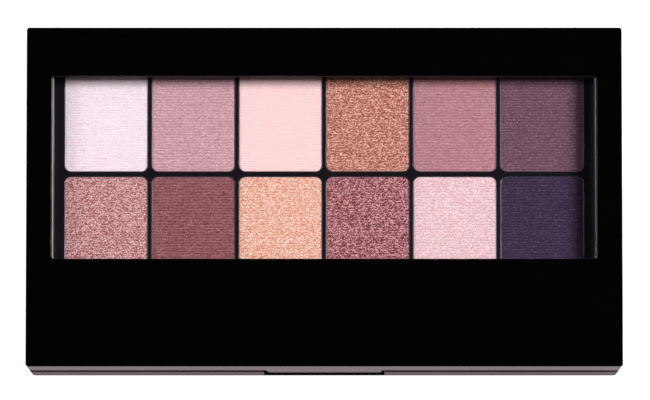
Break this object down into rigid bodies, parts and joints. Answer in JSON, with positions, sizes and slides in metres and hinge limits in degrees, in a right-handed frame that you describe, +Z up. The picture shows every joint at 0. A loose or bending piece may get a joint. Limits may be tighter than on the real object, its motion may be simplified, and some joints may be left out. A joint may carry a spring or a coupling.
{
  "type": "eyeshadow palette",
  "caption": "Flat hinged make-up palette with a clear window in its lid over two rows of pressed eyeshadow powders, a thumb tab in front and a sponge applicator inside.",
  "frame": {"origin": "middle of the underside, on the surface that the closed palette stands on", "axes": "+X along the palette's width to the right, +Z up out of the lid, -Y towards the thumb tab, +Y towards the hinges"},
  "size_m": [0.152, 0.0882, 0.012],
  "materials": {
    "case_black": "piano-black high gloss moulding",
    "tray_black": "black moulding, satin",
    "clear_window": "clear acrylic, polished",
    "tin": "drawn and burnished",
    "hot_melt": "translucent hot-melt adhesive",
    "stem_black": "black, polished",
    "sponge": "fine flocked foam",
    "pin_steel": "drawn wire",
    "label_paper": "blank coated paper",
    "powder_pearl": "pressed powder, pale pink-white satin, fabric imprint",
    "powder_mauve": "pressed powder, mauve-pink satin, fabric imprint",
    "powder_peach": "pressed powder, peach-pink matte, fabric imprint",
    "powder_copper": "pressed powder, copper shimmer, fabric imprint",
    "powder_dusty_rose": "pressed powder, dusty rose matte, fabric imprint",
    "powder_plum_taupe": "pressed powder, plum taupe matte, fabric imprint",
    "powder_rosy_shimmer": "pressed powder, rosy shimmer, fabric imprint",
    "powder_rosewood": "pressed powder, rosewood matte, fabric imprint",
    "powder_gold": "pressed powder, golden peach shimmer, fabric imprint",
    "powder_burgundy": "pressed powder, burgundy shimmer, fabric imprint",
    "powder_pale_pink": "pressed powder, pale pink satin, fabric imprint",
    "powder_midnight": "pressed powder, dark navy-violet matte, fabric imprint"
  },
  "bodies": {
    "base": {"base_shell": "case_black", "base_label": "label_paper", "pan_tray": "tray_black", "pan_1_1": "tin", "pan_1_2": "tin", "pan_1_3": "tin", "pan_1_4": "tin", "pan_1_5": "tin", "pan_1_6": "tin", "pan_2_1": "tin", "pan_2_2": "tin", "pan_2_3": "tin", "pan_2_4": "tin", "pan_2_5": "tin", "pan_2_6": "tin", "powder_1_1_pearl": "powder_pearl", "powder_1_2_mauve": "powder_mauve", "powder_1_3_peach": "powder_peach", "powder_1_4_copper": "powder_copper", "powder_1_5_dusty_rose": "powder_dusty_rose", "powder_1_6_plum_taupe": "powder_plum_taupe", "powder_2_1_rosy_shimmer": "powder_rosy_shimmer", "powder_2_2_rosewood": "powder_rosewood", "powder_2_3_gold": "powder_gold", "powder_2_4_burgundy": "powder_burgundy", "powder_2_5_pale_pink": "powder_pale_pink", "powder_2_6_midnight": "powder_midnight", "glue_1_1": "hot_melt", "glue_1_2": "hot_melt", "glue_1_3": "hot_melt", "glue_1_4": "hot_melt", "glue_1_5": "hot_melt", "glue_1_6": "hot_melt", "glue_2_1": "hot_melt", "glue_2_2": "hot_melt", "glue_2_3": "hot_melt", "glue_2_4": "hot_melt", "glue_2_5": "hot_melt", "glue_2_6": "hot_melt", "applicator_stem": "stem_black", "sponge_tip_right": "sponge", "sponge_tip_left": "sponge", "hinge_pin_left": "pin_steel", "hinge_pin_right": "pin_steel"},
    "lid": {"lid_frame": "case_black", "lid_window": "clear_window"}
  },
  "joints": [
    {"name": "lid_hinge", "type": "hinge", "parent": "base", "child": "lid", "pos_m": [0, 0.04225, 0.0085], "axis": [-1, 0, 0], "range_deg": [0, 120]}
  ]
}
